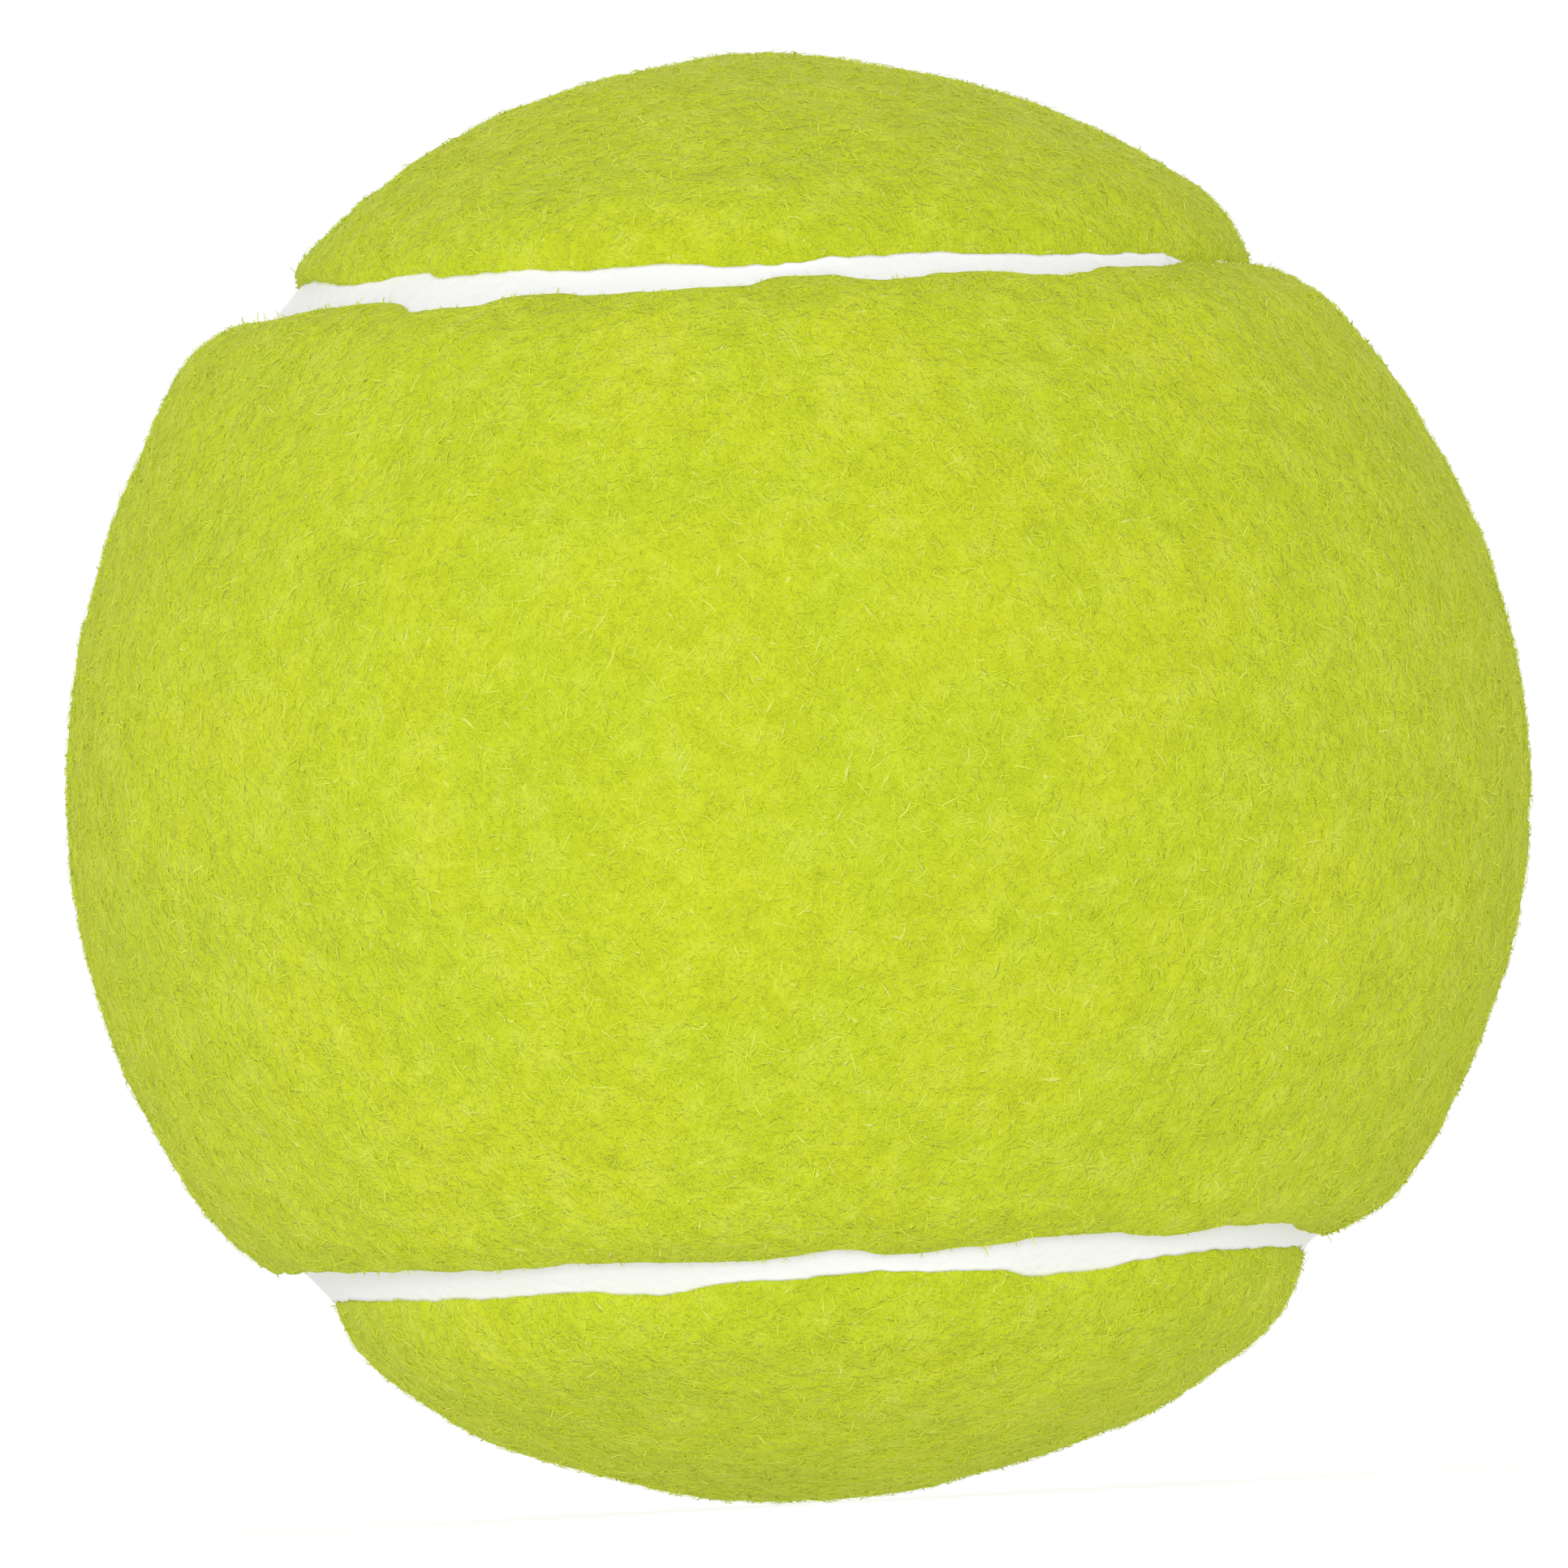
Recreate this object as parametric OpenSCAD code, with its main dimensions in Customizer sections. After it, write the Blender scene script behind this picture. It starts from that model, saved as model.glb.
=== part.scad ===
// Tennis ball: a glued rubber core under two dumbbell felt panels and one closed seam.
//
// The seam of a ball with two equal panels can be laid out from circles. On the half that
// faces -Y it follows two half circles about the Z axis, and on the half that faces +Y two
// half circles about the X axis. All four lie 45 degrees from their axis, so their ends meet
// in the plane between the halves and run on into each other with no corner.
//
// The front panel is a waist across the -Y side that ends in a lobe at +X and one at -X. It is
// made from its waist, swept all the way round Z. The back half of that ring is then cut away
// around the two lobes, by a sweep of half a turn about X. Sections are drawn once, beside the
// seam, so a panel has the same edge all the way round. The back panel is the same piece
// turned over about the line halfway between X and Z.

/* [Core] */
// Outside diameter of the moulded rubber core
core_d = 60.3; // [57:0.1:63]
// Wall of each core half
core_wall = 3.4; // [3:0.1:4.5]
// Cured cement between the ground rims of the two halves
joint_t = 0.2; // [0.1:0.05:0.4]
// Radius of the cement bead that is squeezed out inside the joint
joint_bead_r = 0.6; // [0.3:0.1:1.2]

/* [Cover] */
// Film of rubber cement all over the core
coat_t = 0.2; // [0.1:0.05:0.4]
// Rubber spread on the back of the felt cloth
backing_t = 0.35; // [0.2:0.05:0.8]
// Felt cloth, from its backing to the top of the nap
cloth_t = 2.8; // [2.2:0.1:3.6]

/* [Seam] */
// Width of the rubber between the cut edges of the panels
seam_w = 2; // [0.8:0.1:3]
// How far the middle of the seam is dished below the cut edges
seam_dish = 0.15; // [0.05:0.05:0.3]
// How far the cut edge of a panel lies below the surface of the ball
edge_drop = 1.3; // [0.4:0.1:1.9]
// Radius over which the nap rolls down to the cut edge
edge_roll_r = 6.3; // [3:0.1:12]

/* [Hidden] */
$fn = 144;

// Radii of the layers, from the gas space outwards
core_r = core_d/2;
bore_r = core_r - core_wall;
coat_r = core_r + coat_t;
backing_r = coat_r + backing_t;
ball_r = backing_r + cloth_t;
// Past every surface of the ball, for the shapes that cut it
past_ball = 2*ball_r;

// The seam lies halfway between the axis of a sweep and its equator
seam_turn = 45;

// Beside the seam, y points out of the ball and x to the waist of the panel.
// The cut edge is the point at the top of the panel's wall. The nap rolls down to it on a
// circle that touches the ball's surface from inside.
cut_edge = [seam_w/2, ball_r - edge_drop];
roll_reach = ball_r - edge_roll_r;
roll_turn = atan2(cut_edge.x, cut_edge.y) + acos(
    (roll_reach*roll_reach + cut_edge*cut_edge - edge_roll_r*edge_roll_r)
    / (2*roll_reach*norm(cut_edge)));
roll_centre = roll_reach*[sin(roll_turn), cos(roll_turn)];

// The circle through both cut edges whose lowest point is the middle of the dished seam
dish_r = (seam_w*seam_w/4 + seam_dish*seam_dish)/(2*seam_dish);

felt_yellow = [0.82, 0.88, 0.25];
seam_white = [0.93, 0.93, 0.90];
core_black = [0.17, 0.17, 0.18];
cement_amber = [0.72, 0.63, 0.45];
backing_cream = [0.86, 0.82, 0.70];

// Sweeps. A section is drawn right of the Z axis.

// Sweeps a section about the Z axis over the half that faces -Y
module front_half_turn() rotate_extrude(angle = 180, start = 180) children();

// Sweeps a section about the X axis over the half that faces +Y
module back_half_turn() rotate([0, 90, 0]) rotate_extrude(angle = 180) children();

// Turns the front panel over into the back panel
module turned_over() rotate(a = 180, v = [1, 0, 1]) children();

// Sections

module right_of_axis() translate([0, -past_ball]) square([past_ball, 2*past_ball]);

// Carries what is drawn upright beside the seam to the seam
module at_seam() rotate(-seam_turn) children();

// A section and its mirror image on the other side of the equator
module both_ways() {
    children();
    mirror([0, 1]) children();
}

module layer_section(inner_r, outer_r) {
    difference() {
        circle(r = outer_r);
        circle(r = inner_r);
    }
}

// Everything on the waist side of a cut through the cloth, which lies offset from the seam
module waist_side(offset) at_seam() translate([offset, -past_ball])
    square([past_ball, 2*past_ball]);

// Everything between two such cuts, one each side of the equator
module between_cuts(offset) {
    intersection() {
        waist_side(offset);
        mirror([0, 1]) waist_side(offset);
        right_of_axis();
    }
}

module waist_section(inner_r, outer_r) {
    intersection() {
        layer_section(inner_r, outer_r);
        between_cuts(seam_w/2);
    }
}

// What the roll takes off the square edge of a waist, drawn upright beside the seam
module above_roll() {
    difference() {
        polygon([
            roll_centre,
            roll_centre + past_ball*[sin(roll_turn), cos(roll_turn)],
            roll_centre + past_ball*[-1, 1],
            roll_centre + past_ball*[-1, 0]
        ]);
        translate(roll_centre) circle(r = edge_roll_r);
    }
}

module felt_waist_section() {
    difference() {
        waist_section(backing_r, ball_r);
        both_ways() at_seam() above_roll();
    }
}

// Everything around two lobes with square edges
module around_lobes_section() between_cuts(-seam_w/2);

// Everything around two lobes whose edges roll down
module around_felt_lobes_section() {
    around_lobes_section();
    both_ways() at_seam() mirror([1, 0]) above_roll();
}

// The rubber between two cut edges, which stands on the cement coat
module seam_section() {
    at_seam() difference() {
        translate([-seam_w/2, coat_r]) square([seam_w, cut_edge.y + seam_dish - coat_r]);
        translate([0, cut_edge.y - seam_dish + dish_r]) circle(r = dish_r);
    }
}

// A half shell with a flat rim beside the joint
module core_half_section() {
    intersection() {
        layer_section(bore_r, core_r);
        translate([0, joint_t/2]) square([past_ball, past_ball]);
    }
}

// Fills the joint between the rims and ends in a bead inside
module core_joint_section() {
    intersection() {
        layer_section(bore_r, core_r);
        translate([0, -joint_t/2]) square([past_ball, joint_t]);
    }
    intersection() {
        circle(r = bore_r);
        translate([bore_r, 0]) circle(r = joint_bead_r);
    }
}

// Pieces

module core_half_front() color(core_black)
    rotate([90, 0, 0]) rotate_extrude() core_half_section();

module core_half_back() color(core_black)
    rotate([-90, 0, 0]) rotate_extrude() core_half_section();

module core_joint_cement() color(cement_amber)
    rotate([90, 0, 0]) rotate_extrude() core_joint_section();

module core_cement_coat() color(cement_amber) {
    difference() {
        sphere(r = coat_r);
        sphere(r = core_r);
    }
}

module cloth_backing_front() color(backing_cream) {
    difference() {
        rotate_extrude() waist_section(coat_r, backing_r);
        back_half_turn() around_lobes_section();
    }
}

module cloth_backing_back() color(backing_cream) turned_over() cloth_backing_front();

module felt_panel_front() color(felt_yellow) {
    difference() {
        rotate_extrude() felt_waist_section();
        back_half_turn() around_felt_lobes_section();
    }
}

module felt_panel_back() color(felt_yellow) turned_over() felt_panel_front();

// Four half rings that join end to end into one loop
module seam_rubber() color(seam_white) {
    front_half_turn() both_ways() seam_section();
    back_half_turn() both_ways() seam_section();
}

core_half_front();
core_half_back();
core_joint_cement();
core_cement_coat();
cloth_backing_front();
cloth_backing_back();
felt_panel_front();
felt_panel_back();
seam_rubber();
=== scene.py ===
# %% [markdown]
# # A tennis ball with its felt, its seam and the rubber inside it
#
# A tennis ball is a hollow rubber core in a cloth cover. The cover is two dumbbell-shaped
# panels of napped felt, and the line between them is one closed strip of pale rubber. The
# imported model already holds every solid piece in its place, so this script only dresses
# it. It makes the felt and the seam again with the lumps, rolled edges and loose fibres
# that a plain solid lacks, and it gives each piece inside a finish of its own.

# %% Load the frame
import math

import bpy
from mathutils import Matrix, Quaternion, Vector


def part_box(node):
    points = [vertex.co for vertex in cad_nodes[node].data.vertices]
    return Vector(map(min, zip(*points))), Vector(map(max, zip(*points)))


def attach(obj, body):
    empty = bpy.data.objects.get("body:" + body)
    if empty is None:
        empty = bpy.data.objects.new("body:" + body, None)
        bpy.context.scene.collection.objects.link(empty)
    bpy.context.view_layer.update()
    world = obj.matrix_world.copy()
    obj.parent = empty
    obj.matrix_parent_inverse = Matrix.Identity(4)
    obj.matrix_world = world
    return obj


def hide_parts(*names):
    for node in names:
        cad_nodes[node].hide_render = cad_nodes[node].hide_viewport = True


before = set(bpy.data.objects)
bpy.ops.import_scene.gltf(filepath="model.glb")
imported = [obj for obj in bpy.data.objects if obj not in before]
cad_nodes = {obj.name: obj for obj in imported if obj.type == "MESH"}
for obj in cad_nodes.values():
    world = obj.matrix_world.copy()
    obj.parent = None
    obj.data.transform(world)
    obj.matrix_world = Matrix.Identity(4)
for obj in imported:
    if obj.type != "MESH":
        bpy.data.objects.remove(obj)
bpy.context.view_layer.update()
scene = bpy.context.scene
mm = 0.001

# %% [markdown]
# Sizes come from the frame where it has them. A piece that goes round the middle of a ball
# has a box as wide as that ball, so three boxes give the radii of the cloth, of its backing
# and of the cement under it. What no box gives, such as the width of the seam, has a name
# and a real size here. The seam runs 45 degrees from two axes, as four half circles.


# %% Sizes from the frame
def radius_of(*names):
    """The radius of the ball that these pieces reach out to."""
    return max(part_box(name)[1][axis] for name in names for axis in range(3))


ball_r = radius_of("felt_panel_front", "felt_panel_back")
backing_r = radius_of("cloth_backing_front", "cloth_backing_back")
coat_r = radius_of("core_cement_coat")
seam_half_w = 1.0 * mm
seam_turn = math.radians(45)
print(f"cloth {ball_r / mm:.2f}, backing {backing_r / mm:.2f}, cement {coat_r / mm:.2f} mm")

# %% [markdown]
# The shapes and finishes below follow rules, and a rule reads best as a sum. Placing a Math
# node by hand for each plus sign would hide it, so one small class wraps a socket and lets
# Python's operators add the nodes. It works alike in geometry trees and in shader trees.


# %% A wire that does maths
class Wire:
    """One output socket of a node tree. Maths on it adds nodes to that tree."""

    def __init__(self, tree, socket=None):
        self.tree = tree
        self.socket = socket

    def make(self, kind, settings=None, inputs=None, out=0):
        """Adds a node: its settings first, then the values or links of its sockets."""
        node = self.tree.nodes.new(kind)
        for name, value in (settings or {}).items():
            if name == "stops":
                elements = node.color_ramp.elements
                while len(elements) < len(value):
                    elements.new(1.0)
                for element, (place, colour) in zip(elements, value):
                    element.position = place
                    element.color = (*colour, 1.0)
            else:
                setattr(node, name, value)
        for name, value in (inputs or {}).items():
            if isinstance(value, Wire):
                self.tree.links.new(value.socket, node.inputs[name])
            else:
                node.inputs[name].default_value = value
        return Wire(self.tree, node.outputs[out] if node.outputs else None)

    def out(self, name):
        """Another output of the node that this wire comes from."""
        return Wire(self.tree, self.socket.node.outputs[name])

    def is_vector(self):
        return self.socket.type == "VECTOR"

    def math(self, operation, *others):
        kind = "ShaderNodeVectorMath" if self.is_vector() else "ShaderNodeMath"
        return self.make(kind, {"operation": operation}, dict(enumerate((self, *others))))

    def __add__(self, other):
        return self.math("ADD", other)

    __radd__ = __add__

    def __sub__(self, other):
        return self.math("SUBTRACT", other)

    def __rsub__(self, other):
        return self * -1.0 + other

    def __mul__(self, other):
        other_is_vector = isinstance(other, Wire) and other.is_vector()
        if other_is_vector and not self.is_vector():
            return other * self
        if self.is_vector() and not other_is_vector:
            inputs = {0: self, "Scale": other}
            return self.make("ShaderNodeVectorMath", {"operation": "SCALE"}, inputs)
        return self.math("MULTIPLY", other)

    __rmul__ = __mul__

    def __truediv__(self, other):
        return self.math("DIVIDE", other)

    def __pow__(self, other):
        return self.math("POWER", other)

    def held(self, low=0.0, high=1.0):
        """This value, kept from low to high."""
        return self.math("MAXIMUM", low).math("MINIMUM", high)

    def dot(self, other):
        settings = {"operation": "DOT_PRODUCT"}
        return self.make("ShaderNodeVectorMath", settings, {0: self, 1: other}, "Value")

    def parts(self):
        """The x, y and z of this vector."""
        x = self.make("ShaderNodeSeparateXYZ", None, {0: self})
        return x, x.out(1), x.out(2)

    def vector(self, x, y, z):
        return self.make("ShaderNodeCombineXYZ", None, {0: x, 1: y, 2: z})

    def noise(self, period, seed=0.0, detail=2.0, roughness=0.5):
        """Smooth noise over this place, from about -1 to 1, a wave to each period."""
        inputs = {"Vector": self, "W": seed, "Scale": 1.0 / period}
        inputs.update({"Detail": detail, "Roughness": roughness})
        fac = self.make("ShaderNodeTexNoise", {"noise_dimensions": "4D"}, inputs)
        return fac * 2.0 - 1.0

    def drift(self, period, seed=0.0):
        """A smooth vector over this place, each part from about -1 to 1."""
        inputs = {"Vector": self, "W": seed, "Scale": 1.0 / period, "Detail": 1.0}
        colour = self.make("ShaderNodeTexNoise", {"noise_dimensions": "4D"}, inputs, "Color")
        inputs = {0: colour, 1: (2.0, 2.0, 2.0), 2: (-1.0, -1.0, -1.0)}
        return self.make("ShaderNodeVectorMath", {"operation": "MULTIPLY_ADD"}, inputs)

    def curve(self, points):
        """The height, at this value, of a smooth curve through these points."""
        line = self.make("ShaderNodeFloatCurve", None, {"Value": self})
        mapping = line.socket.node.mapping
        mapping.use_clip, mapping.extend = False, "HORIZONTAL"
        knots = mapping.curves[0].points
        while len(knots) < len(points):
            knots.new(1.0, 0.0)
        for knot, place in zip(knots, points):
            knot.location = place
        mapping.update()
        return line

    def number(self, value):
        node = self.tree.nodes.new("ShaderNodeValue")
        node.outputs[0].default_value = value
        return Wire(self.tree, node.outputs[0])

    def store(self, geometry, name, value, kind="FLOAT", domain="POINT"):
        """Keeps a value on the geometry under a name."""
        settings = {"data_type": kind, "domain": domain}
        inputs = {"Geometry": geometry, "Name": name, "Value": value}
        return self.make("GeometryNodeStoreNamedAttribute", settings, inputs)

    def named(self, name, kind="FLOAT"):
        """A value that was kept under that name."""
        return self.make("GeometryNodeInputNamedAttribute", {"data_type": kind}, {"Name": name})

    def blend(self, colour_at_0, colour_at_1):
        """Mixes two colours, with this value as the factor."""
        inputs = {0: self}
        for slot, colour in ((6, colour_at_0), (7, colour_at_1)):
            inputs[slot] = colour if isinstance(colour, Wire) else (*colour, 1.0)
        return self.make("ShaderNodeMix", {"data_type": "RGBA"}, inputs, 2)


# %% [markdown]
# A geometry tree needs the same few steps each time: make it, name its inputs, run it on an
# object, and keep the result as a plain mesh. An input is set by its socket's identifier,
# because two sockets may share a name, and before the object is first evaluated.


# %% Helpers for geometry trees
def geometry_tree(name, sizes):
    """A tree with a named input for each size. Returns a wire to start from and the inputs."""
    tree = bpy.data.node_groups.new(name, "GeometryNodeTree")
    kinds = {float: "Float", int: "Int", bpy.types.Material: "Material"}
    for way in ("INPUT", "OUTPUT"):
        tree.interface.new_socket("Geometry", in_out=way, socket_type="NodeSocketGeometry")
    for label, value in sizes.items():
        kind = "NodeSocket" + kinds[type(value)]
        tree.interface.new_socket(label, in_out="INPUT", socket_type=kind)
    entry = tree.nodes.new("NodeGroupInput")
    return Wire(tree), {s.name: Wire(tree, s) for s in entry.outputs if s.name}


def end_tree(start, geometry, material):
    """Ends a tree in Realize Instances and Set Material."""
    real = start.make("GeometryNodeRealizeInstances", None, {0: geometry})
    dressed = start.make("GeometryNodeSetMaterial", None, {"Geometry": real, "Material": material})
    start.make("NodeGroupOutput", None, {0: dressed})


def grow(name, start, sizes, source=None):
    """Runs a tree on a copy of source's mesh, and keeps the result as a plain mesh."""
    mesh = source.data.copy() if source else bpy.data.meshes.new(name)
    piece = bpy.data.objects.new(name, mesh)
    scene.collection.objects.link(piece)
    modifier = piece.modifiers.new(start.tree.name, "NODES")
    modifier.node_group = start.tree
    for item in start.tree.interface.items_tree:
        if item.name in sizes:
            modifier[item.identifier] = sizes[item.name]
    evaluated = piece.evaluated_get(bpy.context.evaluated_depsgraph_get())
    piece.data = bpy.data.meshes.new_from_object(evaluated)
    piece.modifiers.remove(modifier)
    bpy.data.meshes.remove(mesh)
    triangles = sum(len(face.vertices) - 2 for face in piece.data.polygons)
    print(f"{name}: {triangles} triangles")
    return piece


# %% [markdown]
# Both panels and the seam strip follow one closed line, so they share one way to say where a
# point is: a turn from 0 to 8 along the line, and an angle from the middle line of the front
# panel. The line is four half circles. Two go round the upright axis, on the side that faces
# the camera, and two round the sideways axis, on the far side. Only a quarter of it is worked
# out, and a ping-pong of the turn carries the sum through the other three.

# %% Places along the seam
loop_turns = 8.0
loop_columns = 880
half_loop, quarter_loop = loop_turns / 2, loop_turns / 4
# Points closer together than this are one
weld_distance = 0.002 * mm


def seam_grid(start, rows):
    """A grid mesh, with each point's turn of the loop and its row number as fields."""
    inputs = {"Size X": loop_turns, "Size Y": float(rows)}
    inputs.update({"Vertices X": loop_columns + 1, "Vertices Y": rows + 1})
    grid = start.make("GeometryNodeMeshGrid", None, inputs)
    x, y, _ = start.make("GeometryNodeInputPosition").parts()
    return grid, x + half_loop, y + rows / 2


def seam_direction(turn, angle):
    """From the ball's centre towards a turn of the loop, at an angle from the middle line."""
    step = turn.math("PINGPONG", quarter_loop)
    near = step.held() * math.radians(90)
    far = (step - 1.0).held() * math.radians(90)
    right = (half_loop - turn).math("SIGN")
    up = ((turn - half_loop).math("ABSOLUTE") - quarter_loop).math("SIGN")
    around, along = angle.math("SINE"), angle.math("COSINE")
    x = right * near.math("SINE") * along
    y = far.math("SINE") * around - near.math("COSINE") * along
    return turn.vector(x, y, up * far.math("COSINE") * around)


def turned_over(place, over):
    """A place of the front panel (over is 0), or the same place of the back one (1)."""
    x, y, z = place.parts()
    return place * (1.0 - over) + place.vector(z, y * -1.0, x) * over


def welded_at(start, grid, position):
    """The grid moved to its place, with its meeting edges joined, shaded smooth."""
    placed = start.make("GeometryNodeSetPosition", None, {"Geometry": grid, "Position": position})
    welded = start.make(
        "GeometryNodeMergeByDistance", None, {0: placed, "Distance": weld_distance}
    )
    return start.make("GeometryNodeSetShadeSmooth", None, {0: welded})


# %% [markdown]
# A cut edge of felt isn't clean. The nap closes over the seam here and draws back there, by
# up to a millimetre, and at the upper right it meets the nap of the other panel. Where the
# photograph shows the edges, four curves follow them, with their heights in millimetres.
# Behind the ball, noise of the same size takes over. A panel and the strip beside it must
# wander together, so both ask this one function, and no panel passes the seam's middle.

# %% How far a cut edge wanders
edge_seeds = {"front": 3.0, "back": 8.0}
# From the left end of the seam in the picture to its right end
edge_places = [-1.0, -0.93, -0.85, -0.75, -0.65, -0.55, -0.45, -0.35, -0.25, -0.15, -0.05,
               0.05, 0.15, 0.25, 0.35, 0.45, 0.55, 0.65, 0.75, 0.85, 0.93, 1.0]
seen_edges = {
    "front_top": [-0.22, -0.22, 0.40, 0.48, -0.82, -0.82, 0.30, -0.32, -0.44, -0.35, -0.41,
                  0.56, 0.26, -0.64, -0.02, -0.13, -0.62, 0.05, 0.10, 0.90, 1.00, 1.00],
    "back_top": [-0.80, -0.60, 0.00, -0.41, 0.06, -0.01, 0.21, 0.40, 0.34, 0.44, 0.80,
                 0.80, 0.48, 0.49, 0.54, 0.77, 0.85, 0.90, 0.92, 1.00, 1.00, 1.00],
    "front_bottom": [-1.20, -1.10, -0.90, -0.79, -0.53, -0.39, -0.55, -0.42, -0.19, 0.05, -0.04,
                     -0.42, 0.29, 0.04, -0.32, -0.71, -0.71, -0.31, -0.90, -0.95, -0.10, 0.40],
    "back_bottom": [0.70, 0.60, 0.45, 0.25, 0.17, 0.38, 0.13, -0.16, -0.02, 0.40, 0.39,
                    0.52, 0.59, 0.28, 0.33, -0.23, -0.16, 0.44, 0.80, 0.90, 0.98, 0.50],
}
# Behind the outline the curves fade out over a sixth of the ball's radius. They end half a
# radius back at the left, and sooner at the right, where the panels meet.
fade_rate, fade_from_left, fade_from_right = 6.0, 3.0, 1.6
# Slow waves take over there, and small quick ones go all the way round
slow_wave, quick_wave, quick_share = 6.0 * mm, 1.1 * mm, 0.42
least_seam = 0.02 * mm


def edge_wander(rim, over, seed, reach):
    """How far the nap of a panel closes over the seam beside a place on the seam's line."""
    x, y, z = rim.parts()
    across = x / (ball_r * math.sqrt(0.5)) * 0.5 + 0.5
    above = (z / mm).held()
    fade_from = fade_from_left - across * (fade_from_left - fade_from_right)
    shown = (fade_from - y / ball_r * fade_rate).held()
    seen = {}
    for name, heights in seen_edges.items():
        knots = [(place * 0.5 + 0.5, height) for place, height in zip(edge_places, heights)]
        seen[name] = across.curve(knots)
    front = seen["front_top"] * above + seen["front_bottom"] * (1.0 - above)
    back = seen["back_top"] * above + seen["back_bottom"] * (1.0 - above)
    slow = rim.noise(slow_wave, seed, detail=1.0) * (1.0 - shown)
    quick = rim.noise(quick_wave, seed, detail=1.0) * quick_share
    wander = (front * (1.0 - over) + back * over) * shown * mm + (slow + quick) * reach
    return wander.math("MINIMUM", seam_half_w - least_seam)


# %% [markdown]
# Each felt panel is one closed piece of cloth: the nap outside, a rounded lip along the cut,
# the cut itself, and the underside on its backing. It could be sculpted, or cut from a ball
# with a boolean, but then no row of faces would run along the edge to round it over. Here a
# grid goes along the seam as a section would. Each row is a line beside the cut, close
# together at the lip and wide apart in the middle. Noise at four sizes then raises the nap,
# from the slow swell of stretched cloth down to tufts of wool. Close to the outline, one
# more curve adds the unevenness that the photograph shows there.

# %% The felt panel's sizes
outer_rows, wall_rows, under_rows = 80, 4, 8
panel_sizes = {
    "Ball Radius": ball_r, "Under Radius": backing_r, "Seam Half Width": seam_half_w,
    "Edge Drop": 0.95 * mm, "Roll Radius": 6.3 * mm, "Lip Radius": 0.35 * mm,
    "Wander": 0.70 * mm, "Swell": 0.55 * mm, "Lumps": 0.26 * mm, "Clumps": 0.15 * mm,
    "Tufts": 0.13 * mm, "Turned Over": 0.0, "Seed": 0.0,
}
# Each size of unevenness: the length of its waves, and the finer detail on them
uneven_waves = {
    "Swell": (19 * mm, 0.0), "Lumps": (6.0 * mm, 1.0),
    "Clumps": (2.4 * mm, 1.0), "Tufts": (1.0 * mm, 1.0),
}
# Beside the cut the nap keeps this share of its unevenness, and at this rate it comes free
held_share, held_rate = 0.35, 14.0
# Rows crowd towards the cut
crowding = 1.35
# No strand grows on the last rows before the cut, and one this near to it lies along it
bare_rows = 2.0
cut_reach = 2.4 * mm
# A turn that is just enough to tell which way the cut is
small_turn = 0.02
# How far the outline in the photograph stands out, in millimetres, every 15 degrees
# anticlockwise from the left. The last but two is the upper left corner of the front panel.
seen_outline = [0.06, 0.10, 0.33, -0.11, 0.22, -0.33, -0.28, -0.33, -0.03, -0.03, 0.58, 0.52,
                0.44, 0.27, -0.19, -0.26, -0.08, -0.06, 0.05, -0.18, -0.12, 0.72, 0.31, 0.11]
# The corner of the back panel's lobe beside it lies lower
lobe_corner, lobe_corner_height = 21, -0.25
outline_places = len(seen_outline)
# How fast that unevenness ends, away from the outline
outline_narrowness = 1.4


# %% The unevenness of the outline
def swell_height(direction, over):
    """The slow unevenness of the photographed ball, close to its outline."""
    x, y, z = direction.parts()
    angle = z.math("ARCTAN2", x) * (0.5 / math.pi) + 0.5
    front = seen_outline + seen_outline[:1]
    back = front[:lobe_corner] + [lobe_corner_height] + front[lobe_corner + 1:]
    front_height, back_height = (
        angle.curve([(place / outline_places, height) for place, height in enumerate(heights)])
        for heights in (front, back)
    )
    near_outline = (1.0 - (y * outline_narrowness) ** 2.0).held()
    return (front_height * (1.0 - over) + back_height * over) * near_outline * mm


# %% The felt panel's section
def panel_section(size, outer, wall, under, cut):
    """Angle from the seam and radius, for how far a row is along each stretch."""
    edge_r = size["Ball Radius"] - size["Edge Drop"]
    roll_reach = size["Ball Radius"] - size["Roll Radius"]
    roll_square = size["Roll Radius"] ** 2.0
    rolled = (roll_reach ** 2.0 + edge_r ** 2.0 - roll_square) / (roll_reach * edge_r * 2.0)
    roll_turn = rolled.math("ARCCOSINE") + size["Seam Half Width"] / edge_r
    lip_r = edge_r - size["Lip Radius"]
    edge_turn = (cut / lip_r).math("ARCSINE")

    # The nap rolls down to the cut, and its last rows turn over the lip
    crowded = 1.0 - (1.0 - outer) ** crowding
    from_seam = seam_turn - crowded * (seam_turn - edge_turn)
    past_roll = (roll_turn - from_seam).held()
    sunk = past_roll.math("SINE") * roll_reach
    radius = past_roll.math("COSINE") * roll_reach + (roll_square - sunk ** 2.0) ** 0.5
    to_cut = ((from_seam - edge_turn) * edge_r / size["Lip Radius"]).held()
    lip = 1.0 - (1.0 - (1.0 - to_cut) ** 2.0) ** 0.5
    radius = radius - lip * size["Lip Radius"]

    # The cut goes straight down, and the underside goes back to the middle line
    wall_r = lip_r + (size["Under Radius"] - lip_r) * wall
    down = (cut / wall_r).math("ARCSINE") - edge_turn
    back = (seam_turn - (cut / size["Under Radius"]).math("ARCSINE")) * under
    radius = radius + (size["Under Radius"] - radius) * wall
    return from_seam + down + back, radius, from_seam - edge_turn


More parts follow.
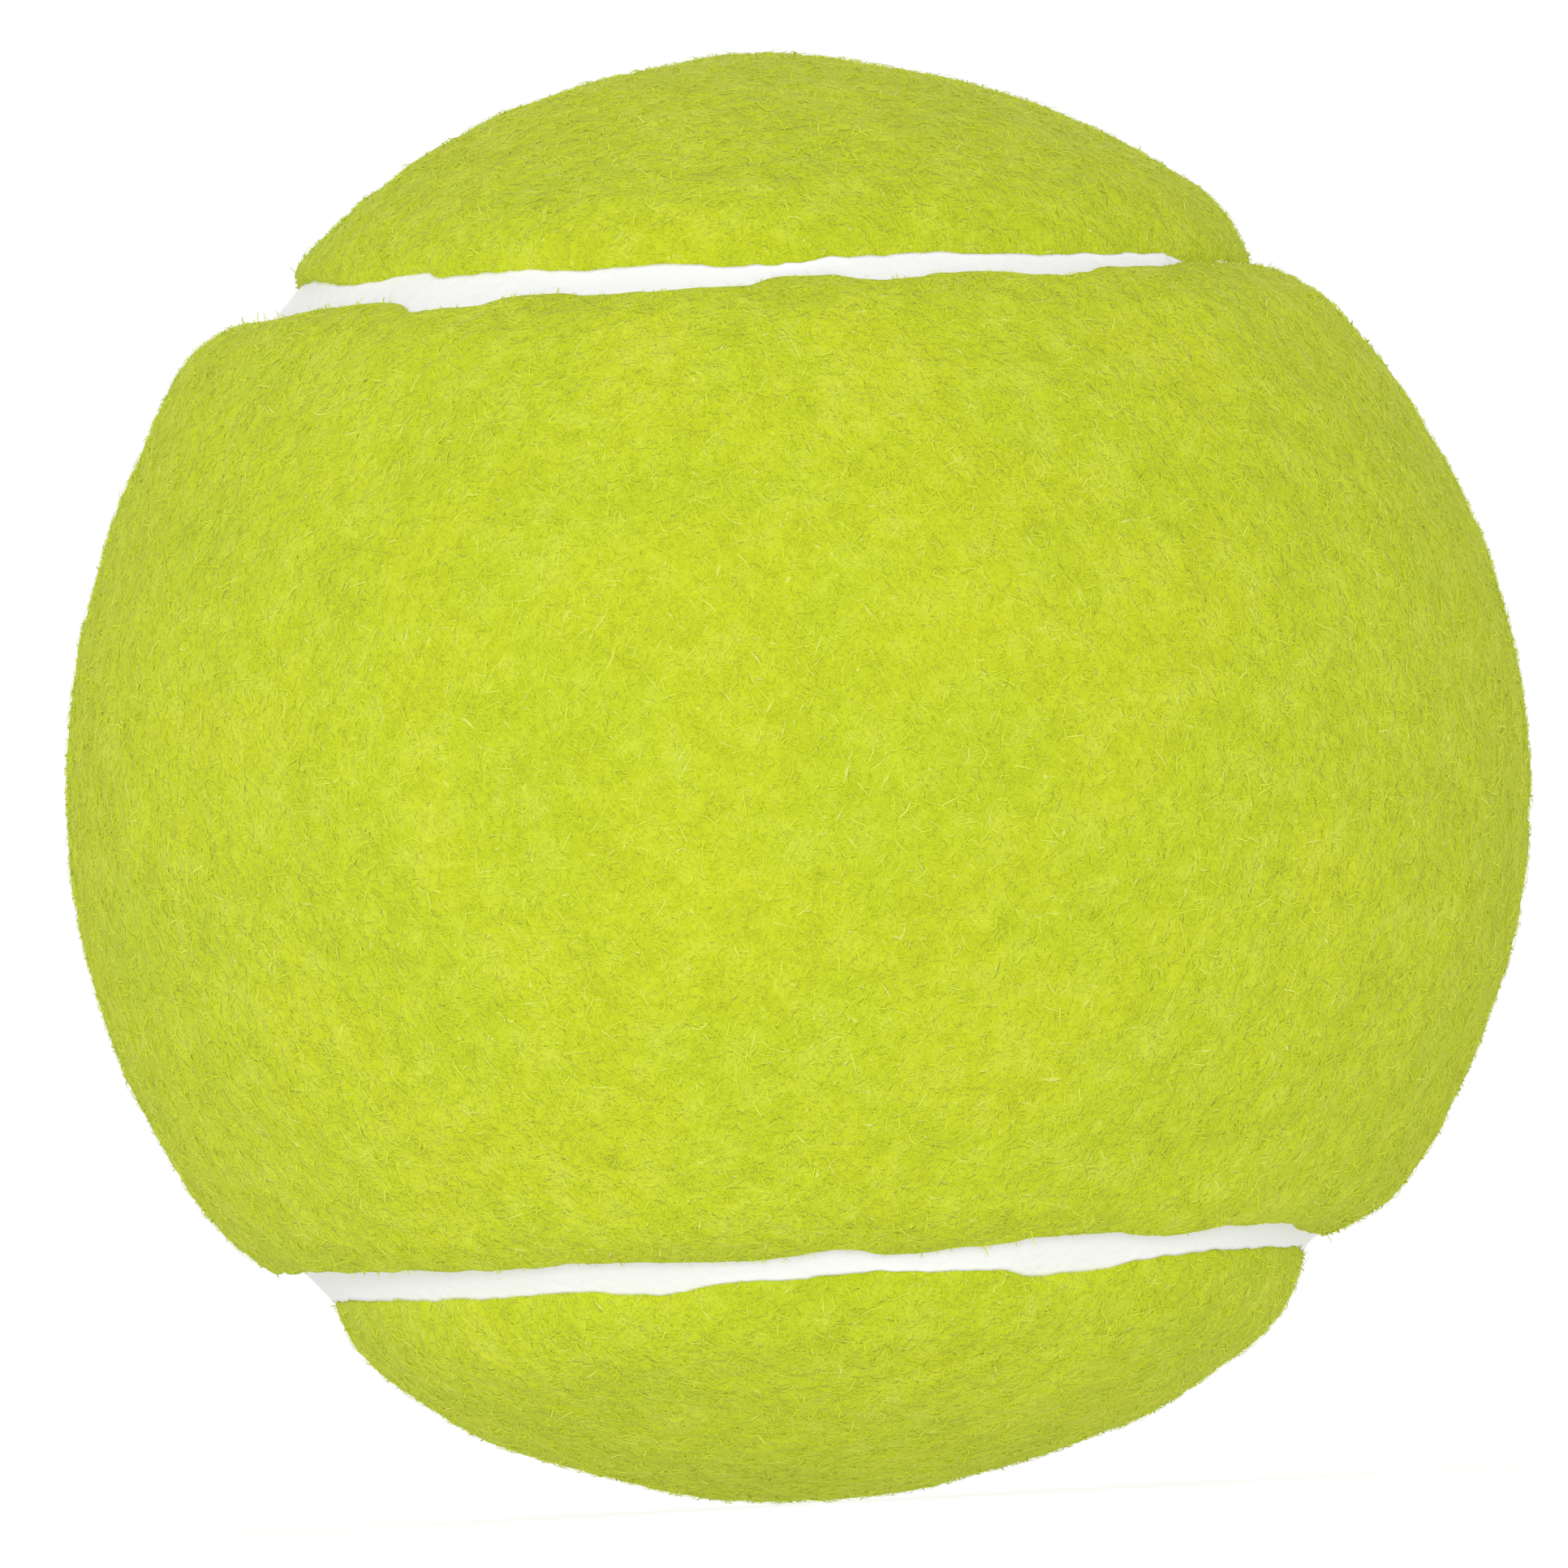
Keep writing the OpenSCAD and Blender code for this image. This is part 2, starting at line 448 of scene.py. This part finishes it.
# %% The felt panel's rule
def panel_tree(material):
    start, size = geometry_tree("Felt panel", {**panel_sizes, "Material": material})
    grid, turn, row = seam_grid(start, outer_rows + wall_rows + under_rows)
    outer = (row / outer_rows).held()
    wall = ((row - outer_rows) / wall_rows).held()
    under = ((row - outer_rows - wall_rows) / under_rows).held()
    over, seed = size["Turned Over"], size["Seed"]

    rim = turned_over(seam_direction(turn, start.number(seam_turn)), over)
    wander = edge_wander(rim * size["Ball Radius"], over, seed, size["Wander"])
    cut = size["Seam Half Width"] - wander
    from_seam, radius, from_cut = panel_section(size, outer, wall, under, cut)

    direction = turned_over(seam_direction(turn, seam_turn - from_seam), over)
    seat = direction * size["Ball Radius"]
    raised = swell_height(direction, over)
    for label, (wave, detail) in uneven_waves.items():
        raised = raised + seat.noise(wave, seed, detail) * size[label]
    free = (from_cut * held_rate).held() * (1.0 - held_share) + held_share
    position = direction * (radius + raised * free * (1.0 - wall))

    # Marks for the nap: where it grows, and which way the cut is where a strand is close to it
    marked = start.store(grid, "nap", 1.0 - (row - outer_rows + bare_rows).held())
    close = (1.0 - from_cut * size["Ball Radius"] / cut_reach).held()
    aside = seam_turn - from_seam + small_turn
    beside = turned_over(seam_direction(turn, aside), over) - direction
    marked = start.store(marked, "to_cut", beside.math("NORMALIZE") * close, "FLOAT_VECTOR")
    end_tree(start, welded_at(start, marked, position), size["Material"])
    return start


# %% [markdown]
# The seam is rubber that was brushed on the edges of both panels as a paste, and cured to
# one strip as the ball was pressed. It lies a little below the lips, slightly dished, and
# deeper where the panels meet over it. Its sides follow the two ragged cuts. A curve with a
# round bevel would miss the cuts, so the same grid goes along the loop again, with a closed
# section of its own.

# %% The seam strip's rule
top_rows, side_rows, foot_rows = 12, 3, 2
strip_sizes = {
    "Ball Radius": ball_r, "Foot Radius": coat_r, "Half Width": seam_half_w,
    "Sink": 1.30 * mm, "Dish": 0.12 * mm, "Wander": panel_sizes["Wander"],
    "Under Nap": 0.05 * mm, "Unevenness": 0.05 * mm,
}
rubber_wave = 2.2 * mm
# Where the seam is narrower than this, the rubber is squeezed down by up to this much
squeezed_width, squeezed_depth = 0.8 * mm, 0.6 * mm


def strip_tree(material):
    start, size = geometry_tree("Seam strip", {**strip_sizes, "Material": material})
    rows = top_rows + 2 * side_rows + foot_rows
    grid, turn, row = seam_grid(start, rows)
    across = (row / top_rows).held()
    down = ((row - top_rows) / side_rows).held()
    foot = ((row - top_rows - side_rows) / foot_rows).held()
    up = ((row - top_rows - side_rows - foot_rows) / side_rows).held()

    rim = seam_direction(turn, start.number(seam_turn)) * size["Ball Radius"]
    reaches = [
        size["Half Width"] + size["Under Nap"] - edge_wander(rim, over, seed, size["Wander"])
        for over, seed in ((0.0, edge_seeds["front"]), (1.0, edge_seeds["back"]))
    ]
    aside = reaches[0] - (across - foot) * (reaches[0] + reaches[1])
    top_r = size["Ball Radius"] - size["Sink"]
    dished = (1.0 - (across * 2.0 - 1.0) ** 2.0) * size["Dish"]
    narrow = (1.0 - (reaches[0] + reaches[1]) / squeezed_width).held()
    radius = top_r - dished - narrow * squeezed_depth
    radius = radius + (size["Foot Radius"] - radius) * (down - up)
    direction = seam_direction(turn, seam_turn - (aside / radius).math("ARCSINE"))
    seat = direction * size["Ball Radius"]
    uneven = seat.noise(rubber_wave, 5.0) * size["Unevenness"] * (1.0 - (down - up))
    position = direction * (radius + uneven)
    end_tree(start, welded_at(start, grid, position), size["Material"])
    return start


# %% [markdown]
# Felt is raised from woven cloth by teasing wool and nylon fibres out of it and shrinking
# them to a mat. Fibres are what the eye knows it by, and bump alone shows none against the
# light, so they are real strands here. Hair curves would do for a picture, but an exported
# mesh loses them. Each strand starts as a few points in a row at one spot of the nap, which
# are laid over, curled and lifted by sums, joined to a curve, and given a thin, tapering
# body. Its section is a low triangle with its back to the ball, because a round one would
# show a dark flank beside each pale top.

# %% The nap's sizes
nap_sizes = {
    "Per Area": 1.70e6, "Points": 3, "Length": 0.70 * mm, "Width": 0.058 * mm,
    "Rise": 0.09 * mm, "Curl": 0.9, "Combed": 1.6, "Seed": 1,
}
# Over this distance the way the nap is combed changes
combing_wave, combing_seed = 5 * mm, 21.0
# How much one strand differs from the next, and how much more the curliest ones curl
length_spread, rise_spread, width_spread, extra_curl = 0.45, 0.7, 0.25, 1.5
least_bend = 0.01
# Beside a cut the strands are shorter and straighter, and hang down more
shorter, straighter, hanging = 0.65, 0.8, 4.0
# A strand rises and falls over this part of a wave, and its tip stands up or dips
arch_turn, tip_rise = 2.6, 0.35
root_depth = 0.02 * mm
# How much thinner the tip is, and how low and wide the section is
taper, section_shape = 0.75, (0.35, 1.15, 1.0)
# How much of the map's width the way round a strand takes
map_column = 0.006


# %% Where the strands stand
def scattered_roots(start, size):
    """A point at each strand's root, with its dice, and the way it is laid."""
    spread = start.make(
        "GeometryNodeDistributePointsOnFaces", None,
        {
            "Mesh": size["Geometry"], "Seed": size["Seed"],
            "Density": size["Per Area"] * start.named("nap"),
        },
    )
    normal = spread.out("Normal")
    # Two throws of three dice each settle how one strand differs from the next
    throw = {"data_type": "FLOAT_VECTOR"}
    low_high = {0: (-1.0, -1.0, -1.0), 1: (1.0, 1.0, 1.0)}
    aim = start.make("FunctionNodeRandomValue", throw, {**low_high, "Seed": size["Seed"]})
    dice = start.make("FunctionNodeRandomValue", throw, {**low_high, "Seed": size["Seed"] + 50})
    # Neighbours lie much the same way, and beside a cut they lie along it
    place = start.make("GeometryNodeInputPosition")
    lay = aim + place.drift(combing_wave, combing_seed) * size["Combed"]
    to_cut = start.named("to_cut", "FLOAT_VECTOR")
    lay = lay - normal * lay.dot(normal) - to_cut * lay.dot(to_cut)
    lay = lay.math("NORMALIZE")
    kept = start.store(spread, "out", normal, "FLOAT_VECTOR")
    kept = start.store(kept, "lay", lay, "FLOAT_VECTOR")
    kept = start.store(kept, "dice", dice, "FLOAT_VECTOR")
    return start.store(kept, "strand", start.make("GeometryNodeInputIndex"), "INT")


# %% How a strand lies
def strand_offset(start, size):
    """How far a point of a strand is from its root.

    The strand is laid over and curled in the plane of the nap, follows the ball, and is
    lifted between its ends.
    """
    normal, lay = start.named("out", "FLOAT_VECTOR"), start.named("lay", "FLOAT_VECTOR")
    one, two, three = start.named("dice", "FLOAT_VECTOR").parts()
    along = start.named("step")
    side = start.make("ShaderNodeVectorMath", {"operation": "CROSS_PRODUCT"}, {0: normal, 1: lay})
    to_cut = start.named("to_cut", "FLOAT_VECTOR")
    close = to_cut.dot(to_cut)
    reach = size["Length"] * (1.0 + one * length_spread) * (1.0 - close * shorter)
    curl = size["Curl"] * (1.0 - close * straighter)
    bend = (two + two ** 3.0 * extra_curl) * curl + least_bend
    forward = (bend * along).math("SINE") / bend * reach
    sideways = (1.0 - (bend * along).math("COSINE")) / bend * reach
    fall = (forward ** 2.0 + sideways ** 2.0) / (2.0 * ball_r) * (1.0 + close * hanging)
    arch = (along * arch_turn).math("SINE") + along * tip_rise * three
    lift = arch * size["Rise"] * (1.0 + three * rise_spread) - fall - root_depth
    return lay * forward + side * sideways + normal * lift


# %% The nap's rule
def nap_tree(material):
    start, size = geometry_tree("Nap", {**nap_sizes, "Material": material})
    roots = scattered_roots(start, size)
    copies = start.make(
        "GeometryNodeDuplicateElements", {"domain": "POINT"}, {0: roots, "Amount": size["Points"]}
    )
    kept = start.store(copies, "step", copies.out(1) / (size["Points"] - 1.0))
    offset = strand_offset(start, size)
    laid = start.make("GeometryNodeSetPosition", None, {0: kept, "Offset": offset})
    strands = start.make(
        "GeometryNodePointsToCurves", None,
        {0: laid, "Curve Group ID": start.named("strand", "INT"), "Weight": start.named("step")},
    )
    strands = start.make(
        "GeometryNodeSetCurveNormal", {"mode": "FREE"},
        {0: strands, "Normal": start.named("out", "FLOAT_VECTOR")},
    )
    ring = start.make("GeometryNodeCurvePrimitiveCircle", None, {"Resolution": 3, "Radius": 0.5})
    ring = start.make("GeometryNodeTransform", None, {0: ring, "Scale": section_shape})
    ring = start.store(ring, "round", start.make("GeometryNodeSplineParameter"))
    along = start.named("step")
    one, _, three = start.named("dice", "FLOAT_VECTOR").parts()
    slim = size["Width"] * (1.0 - along ** 2.0 * taper) * (1.0 + three * width_spread)
    bodies = start.make(
        "GeometryNodeCurveToMesh", None,
        {"Curve": strands, "Profile Curve": ring, "Scale": slim, "Fill Caps": True},
    )
    # Each strand has a narrow column of the map to itself, from its root up to its tip
    column = one * 0.49 + 0.5
    place = start.vector(column + start.named("round") * map_column, along, 0.0)
    mapped = start.store(bodies, "OFBake", place, "FLOAT2", "CORNER")
    smooth = {0: mapped, "Shade Smooth": False}
    end_tree(start, start.make("GeometryNodeSetShadeSmooth", None, smooth), size["Material"])
    return start


# %% [markdown]
# Every finish here is matt, or nearly so, and one helper sets up the shader: a colour and a
# roughness that vary, a height for the bump, and constants such as sheen on its own sockets.
# Patterns read Object coordinates, which are the frame's own metres, so a piece keeps its
# marks from any side and in the exported model.


# %% A helper for finishes
def finish(name, colour, roughness, height=None, depth=0.0, constants=None):
    """A material from functions of the start wire: its colour, its roughness, its height."""
    material = bpy.data.materials.new(name)
    material.use_nodes = True
    material.node_tree.nodes.clear()
    start = Wire(material.node_tree)
    inputs = {"Base Color": colour(start), "Roughness": roughness(start), **(constants or {})}
    if height:
        bump = {"Height": height(start), "Distance": depth}
        inputs["Normal"] = start.make("ShaderNodeBump", None, bump)
    shader = start.make("ShaderNodeBsdfPrincipled", None, inputs)
    start.make("ShaderNodeOutputMaterial", None, {"Surface": shader})
    return material


def place_on(start):
    """The place on the object, in metres."""
    return start.make("ShaderNodeTexCoord", None, None, "Object")


def worn(period, middle, spread):
    """A roughness that drifts around a middle value."""
    def roughness(start):
        return place_on(start).noise(period, 7.0, 3.0) * spread + middle
    return roughness


# %% [markdown]
# The panel's own surface is the dense mat between the strands. Its yellow-green comes from
# two dyed fibres that never mix evenly, so clouds a few millimetres wide drift between a
# yellower and a greener tone. Over patches the size of tufts, which don't follow the mesh,
# the colour is painted paler and deeper, as light and shade of the nap's relief. Pale fibres
# cross in the mat: noise that is stretched along six directions gives them at any place of a
# ball, where a map of two directions would pinch. Sheen gives the bloom of fuzz at a
# glancing angle.

# %% Felt
felt_greener = (0.55, 0.67, 0.024)
felt_yellower = (0.64, 0.72, 0.022)
# Pale fibres, and also the painted highlight on tufts
felt_pale_fibre_and_highlight = (0.74, 0.82, 0.10)
felt_fleck = (0.85, 0.89, 0.27)
# Painted shade, between tufts and in pits
felt_painted_shade = (0.45, 0.52, 0.017)
# How wide the clouds of colour, the tufts of painted light and shade, the pits of painted
# shade and the fibres are
cloud_wave, tuft_wave, pit_wave, fibre_wave = 7 * mm, 1.5 * mm, 0.55 * mm, 0.17 * mm
fibre_axes = [(0, 0.85, 0.53), (0, 0.85, -0.53), (0.85, 0.53, 0), (0.85, -0.53, 0),
              (0.53, 0, 0.85), (-0.53, 0, 0.85)]
# How much the noise is stretched along each: 1 would be without end
fibre_stretch = 0.86
# The fibres bend by this much, over this distance
fibre_bend, bend_wave = 0.35 * mm, 1.5 * mm


def matted_fibres(place):
    """Long thin grains along six directions, which cross at any place on a ball."""
    bent = place + place.drift(bend_wave, 9.0) * fibre_bend
    top = place.number(-1.0)
    for seed, axis in enumerate(fibre_axes):
        share = {0: axis, "Scale": bent.dot(axis) * fibre_stretch}
        along = place.make("ShaderNodeVectorMath", {"operation": "SCALE"}, share)
        top = top.math("MAXIMUM", (bent - along).noise(fibre_wave, float(seed), 0.0))
    return top


def painted_tuft_light_and_shade(place, colour, highlight_share, shade_share):
    """Painted light on tufts of noise, and painted shade in the hollows between them."""
    tufts = place.noise(tuft_wave, 2.0, 2.0, 0.7)
    colour = ((tufts * 2.0).held() * highlight_share).blend(colour, felt_pale_fibre_and_highlight)
    return ((tufts * -2.0).held() * shade_share).blend(colour, felt_painted_shade)


def felt_colour(start):
    place = place_on(start)
    clouds = (place.noise(cloud_wave, 1.0, 3.0) * 1.1 + 0.5).held()
    # Tufts painted lighter, with painted shade between them
    mat = painted_tuft_light_and_shade(place, clouds.blend(felt_greener, felt_yellower), 0.45, 0.40)
    top = matted_fibres(place)
    mat = ((top * 2.4 - 1.0).held() * 0.45).blend(mat, felt_pale_fibre_and_highlight)
    mat = ((top * 5.0 - 2.8).held() * 0.45).blend(mat, felt_fleck)
    # Small pits painted darker, as shade in the mat
    pit_shade = (place.noise(pit_wave, 6.0, 2.0, 0.6) * -2.4 - 0.6).held()
    return (pit_shade * 0.5).blend(mat, felt_painted_shade)


def felt_height(start):
    place = place_on(start)
    return place.noise(0.8 * mm, 3.0, 3.0, 0.6) + matted_fibres(place) * 0.5


fuzz = {
    "Specular IOR Level": 0.12, "Sheen Weight": 0.10, "Sheen Roughness": 0.5,
    "Sheen Tint": (0.94, 1.0, 0.70, 1.0),
}
felt = finish("felt_mat", felt_colour, worn(2.4 * mm, 0.90, 0.08), felt_height, 0.24 * mm, fuzz)

# %% [markdown]
# A strand's colour comes from its column of the map, so each strand has one tone, and from
# how far up it is: roots sit in the mat and look deeper, and tips catch the light. Most
# strands are near the mat's tone, and a few are pale nylon. All of them carry the same
# painted light and shade of the tufts as the mat under them, or the mat's own pattern would
# be lost below them.

# %% Strands
strand_tones = [
    (0.00, (0.55, 0.65, 0.020)), (0.20, (0.62, 0.72, 0.023)), (0.60, (0.66, 0.75, 0.027)),
    (0.85, (0.70, 0.78, 0.038)), (0.95, (0.74, 0.81, 0.070)), (1.00, (0.82, 0.89, 0.180)),
]


def strand_colour(start):
    column, up, _ = start.make("ShaderNodeUVMap", {"uv_map": "OFBake"}).parts()
    tone = start.make("ShaderNodeValToRGB", {"stops": strand_tones}, {0: column})
    # The same painted light and shade of the tufts as on the mat under it
    tone = painted_tuft_light_and_shade(place_on(start), tone, 0.35, 0.35)
    return ((1.0 - up) ** 2.0 * 0.25).blend(tone, felt_yellower)


# From this column of the map on, the strands turn to nylon
nylon_from, nylon_rate = 0.85, 7.0
wool_roughness, nylon_roughness = 0.82, 0.62


def strand_roughness(start):
    """Wool is matt, and the pale nylon strands have a slight gloss."""
    column, _, _ = start.make("ShaderNodeUVMap", {"uv_map": "OFBake"}).parts()
    nylon = ((column - nylon_from) * nylon_rate).held()
    return wool_roughness - nylon * (wool_roughness - nylon_roughness)


strand = finish("felt_strand", strand_colour, strand_roughness, constants=fuzz)

# %% [markdown]
# The seam's rubber is off-white and matt. It is hardly ever clean: flecks of wool dust dull
# it and yellow it a little, in patches.

# %% The seam's rubber
seam_clean, seam_dusty = (0.97, 0.97, 0.98), (0.90, 0.91, 0.80)


def seam_colour(start):
    place = place_on(start)
    dust = (place.noise(1.1 * mm, 2.0, 3.0, 0.65) * 1.6 - 0.35).held()
    return (dust * 0.3).blend(seam_clean, seam_dusty)


def seam_height(start):
    return place_on(start).noise(0.5 * mm, 5.0, 3.0)


seam_rubber = finish(
    "seam_white", seam_colour, worn(1.6 * mm, 0.62, 0.10), seam_height, 0.04 * mm
)

# %% [markdown]
# Inside are black moulded rubber with a ground, grainy skin, amber cement that dried with a
# slight gloss, and cream backing rubber with the weave of the cloth showing through. They are
# hidden in the whole ball, but the exported pieces can be taken apart, so each has its own
# finish.


# %% Rubber, cement and backing
def mottled(low, high, period):
    """A colour that drifts between two tones."""
    def colour(start):
        return (place_on(start).noise(period, 1.0, 3.0) + 0.5).held().blend(low, high)
    return colour


def grained(period):
    def height(start):
        return place_on(start).noise(period, 2.0, 4.0, 0.6)
    return height


core_rubber = finish(
    "core_black", mottled((0.030, 0.030, 0.033), (0.060, 0.060, 0.064), 2.5 * mm),
    worn(1.0 * mm, 0.70, 0.15), grained(0.4 * mm), 0.05 * mm,
)
cement = finish(
    "cement_amber", mottled((0.42, 0.30, 0.13), (0.56, 0.43, 0.21), 4 * mm),
    worn(3.0 * mm, 0.38, 0.15), grained(1.6 * mm), 0.05 * mm,
)


# %% The backing's weave
weave_period = 0.9 * mm


def weave_height(start):
    """The cloth's weave, which shows through the rubber spread on its back."""
    x, y, z = place_on(start).parts()
    turns = math.tau / weave_period
    return (x * turns).math("SINE") * (z * turns).math("SINE") + (y * turns).math("SINE") * 0.5


backing = finish(
    "backing_cream", mottled((0.66, 0.58, 0.38), (0.78, 0.72, 0.54), 5 * mm),
    worn(2.0 * mm, 0.60, 0.12), weave_height, 0.04 * mm,
)

# %% Inner pieces
inner_finishes = {
    "core_half_front": core_rubber, "core_half_back": core_rubber,
    "core_joint_cement": cement, "core_cement_coat": cement,
    "cloth_backing_front": backing, "cloth_backing_back": backing,
}
for name, material in inner_finishes.items():
    cad_nodes[name].data.materials.clear()
    cad_nodes[name].data.materials.append(material)
print("finishes:", [material.name for material in bpy.data.materials])

# %% [markdown]
# Now the pieces themselves. Each panel runs the same tree, the back one turned over, and each
# replaces its plain solid. Felt is stretched by about a tenth as it is pulled round the core.

# %% Make the panels and the seam
panel_rule = panel_tree(felt)
panels = {}
for side, over in (("front", 0.0), ("back", 1.0)):
    sizes = {**panel_sizes, "Turned Over": over, "Seed": edge_seeds[side], "Material": felt}
    panels[side] = grow("felt_" + side, panel_rule, sizes)
strip = grow("seam_strip", strip_tree(seam_rubber), {**strip_sizes, "Material": seam_rubber})

# %% [markdown]
# The nap has three kinds of strand: short wool that lies close, longer curls over it, and a
# few stray hairs that stand out against the light. Each kind is a piece of its own on each
# panel, and the wool is split so that no mesh gets too heavy to export.

# %% Make the nap
nap_rule = nap_tree(strand)
curls = {"Points": 5, "Length": 0.9 * mm, "Rise": 0.05 * mm, "Curl": 1.4, "Width": 0.055 * mm}
stray = {"Points": 5, "Length": 1.0 * mm, "Rise": 0.13 * mm, "Curl": 1.2, "Width": 0.035 * mm}
nap_kinds = {
    "wool_1": {"Seed": 11},
    "wool_2": {"Seed": 12},
    "wool_3": {"Seed": 13},
    "curls": {**curls, "Per Area": 0.40e6, "Seed": 14},
    "stray": {**stray, "Per Area": 0.07e6, "Seed": 15},
}
naps = {}
for side, panel in panels.items():
    for kind, changes in nap_kinds.items():
        sizes = {**nap_sizes, **changes, "Material": strand}
        naps[f"nap_{side}_{kind}"] = grow(f"nap_{side}_{kind}", nap_rule, sizes, panel)
for piece in (*panels.values(), *naps.values()):
    for layer in ("nap", "to_cut", "out", "lay", "dice", "strand", "step", "round"):
        if layer in piece.data.attributes:
            piece.data.attributes.remove(piece.data.attributes[layer])

# %% [markdown]
# Each piece says what carries it, and the plain solid that it stands for is hidden. The nap
# goes with its panel.

# %% Attach the pieces
for side, panel in panels.items():
    own_nap = [nap for name, nap in naps.items() if name.startswith("nap_" + side)]
    for piece in (panel, *own_nap):
        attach(piece, "root")
    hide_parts("felt_panel_" + side)
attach(strip, "root")
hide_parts("seam_rubber")
print(len(panels) + len(naps) + 1, "new pieces,", len(inner_finishes), "from the frame")

# %% [markdown]
# The ball was photographed on white, in soft light from all round, with more from beside
# the camera, a little from the upper left and something warm at the right. A dome of even
# light does most of it here. A lamp in front and two weak ones at the sides do the rest, and
# a twin of the front one behind the ball lights it for the views from there. Together they
# are held to a level at which colours render about as they are written.


# %% Light
def lamp(name, direction, distance, side, watts, colour=(1.0, 1.0, 1.0)):
    data = bpy.data.lights.new(name, "AREA")
    data.color = colour
    data.shape, data.size, data.energy = "DISK", side, watts
    light = bpy.data.objects.new(name, data)
    light.visible_camera = False
    scene.collection.objects.link(light)
    light.location = Vector(direction).normalized() * distance
    light.rotation_euler = (-light.location).to_track_quat("-Z", "Y").to_euler()


lamp("key", (-0.90, -0.35, 0.35), 0.9, 0.3, 0.9)
lamp("front", (-0.02, -1.0, 0.11), 1.2, 0.30, 5.25)
lamp("warm", (1.0, -0.10, -0.02), 0.9, 0.3, 0.55, (1.0, 0.94, 0.55))
lamp("back", (0.05, 1.0, 0.25), 1.2, 0.5, 4.5)
print(len(bpy.data.lights), "lamps")

# %% [markdown]
# The dome and the table each have two strengths. One is for the light that they give the
# ball. The other is for what the camera sees of them, by itself or in a gloss, where 1 is
# white. So the backdrop can be white without more light on the ball.

# %% Dome
white = (1.0, 1.0, 1.0, 1.0)
dome_light = 0.63


def strength(start, light, shown):
    """A strength that lights the ball at one level, and is seen at another."""
    path = start.make("ShaderNodeLightPath")
    seen = (path + path.out("Is Glossy Ray") + path.out("Is Transmission Ray")).held()
    return seen * (shown - light) + light


world = bpy.data.worlds.new("studio")
world.use_nodes = True
world.node_tree.nodes.clear()
scene.world = world
sky = Wire(world.node_tree)
glow = {"Color": white, "Strength": strength(sky, dome_light, 1.0)}
dome = sky.make("ShaderNodeBackground", None, glow)
sky.make("ShaderNodeOutputWorld", None, {"Surface": dome})

# %% [markdown]
# The ball stands on a white table that is lit from below, as small goods often are, so its
# underside isn't lost. Away from the ball the table fades to the white of the backdrop, and
# near it the table keeps a soft shadow.

# %% Table
table_r, table_sides = 0.6, 64
table_grey = (0.18, 0.18, 0.18, 1.0)
near_light, near_shown, far_light, far_shown = 0.67, 0.86, 0.76, 1.0
# The white begins this far from the ball's middle, and is full so much further out
white_from, white_over = 0.7 * ball_r, 2.5 * ball_r
turns = [math.tau * side / table_sides for side in range(table_sides)]
ring = [(table_r * math.cos(turn), table_r * math.sin(turn), -ball_r) for turn in turns]
table_mesh = bpy.data.meshes.new("table")
table_mesh.from_pydata(ring, [], [list(range(table_sides))])
table = bpy.data.objects.new("table", table_mesh)
scene.collection.objects.link(table)
table_finish = bpy.data.materials.new("table_white")
table_finish.use_nodes = True
table_finish.node_tree.nodes.clear()
start = Wire(table_finish.node_tree)
x, y, _ = place_on(start).parts()
away = (((x * x + y * y) ** 0.5 - white_from) / white_over).held()
lit = start.make("ShaderNodeBsdfDiffuse", None, {"Color": table_grey})
glow = {"Color": white, "Strength": strength(start, near_light, near_shown)}
under_ball = start.make("ShaderNodeEmission", None, glow)
near = start.make("ShaderNodeAddShader", None, {0: lit, 1: under_ball})
glow = {"Color": white, "Strength": strength(start, far_light, far_shown)}
far = start.make("ShaderNodeEmission", None, glow)
both = start.make("ShaderNodeMixShader", None, {0: away, 1: near, 2: far})
start.make("ShaderNodeOutputMaterial", None, {"Surface": both})
table_mesh.materials.append(table_finish)
print(f"table: all white from {(white_from + white_over) / mm:.0f} mm out")

# %% [markdown]
# The photograph was taken a degree below level, from a long way off, with the ball turned
# three degrees in its frame. The lens is worked out from how large the ball is in the picture.

# %% Camera
image_side = 1932
ball_in_image = (976.4, 960.3)
ball_r_in_image = 892.4
roll, tilt = math.radians(3.08), math.radians(-1.3)
distance = 40 * ball_r
scene.view_settings.view_transform = "Standard"
camera_data = bpy.data.cameras.new("camera")
camera = bpy.data.objects.new("camera", camera_data)
scene.collection.objects.link(camera)
scene.camera = camera
half_angle = math.asin(ball_r / distance)
on_sensor = ball_r_in_image / image_side * camera_data.sensor_width
camera_data.lens = on_sensor / math.tan(half_angle)
camera_data.shift_x = 0.5 - ball_in_image[0] / image_side
camera_data.shift_y = ball_in_image[1] / image_side - 0.5
camera_data.clip_end = 10.0
camera.location = (0.0, -distance * math.cos(tilt), distance * math.sin(tilt))
aim = (-camera.location).to_track_quat("-Z", "Y")
camera.rotation_euler = (aim @ Quaternion((0, 0, 1), -roll)).to_euler()
print(f"lens {camera_data.lens:.0f} mm at {distance:.2f} m")
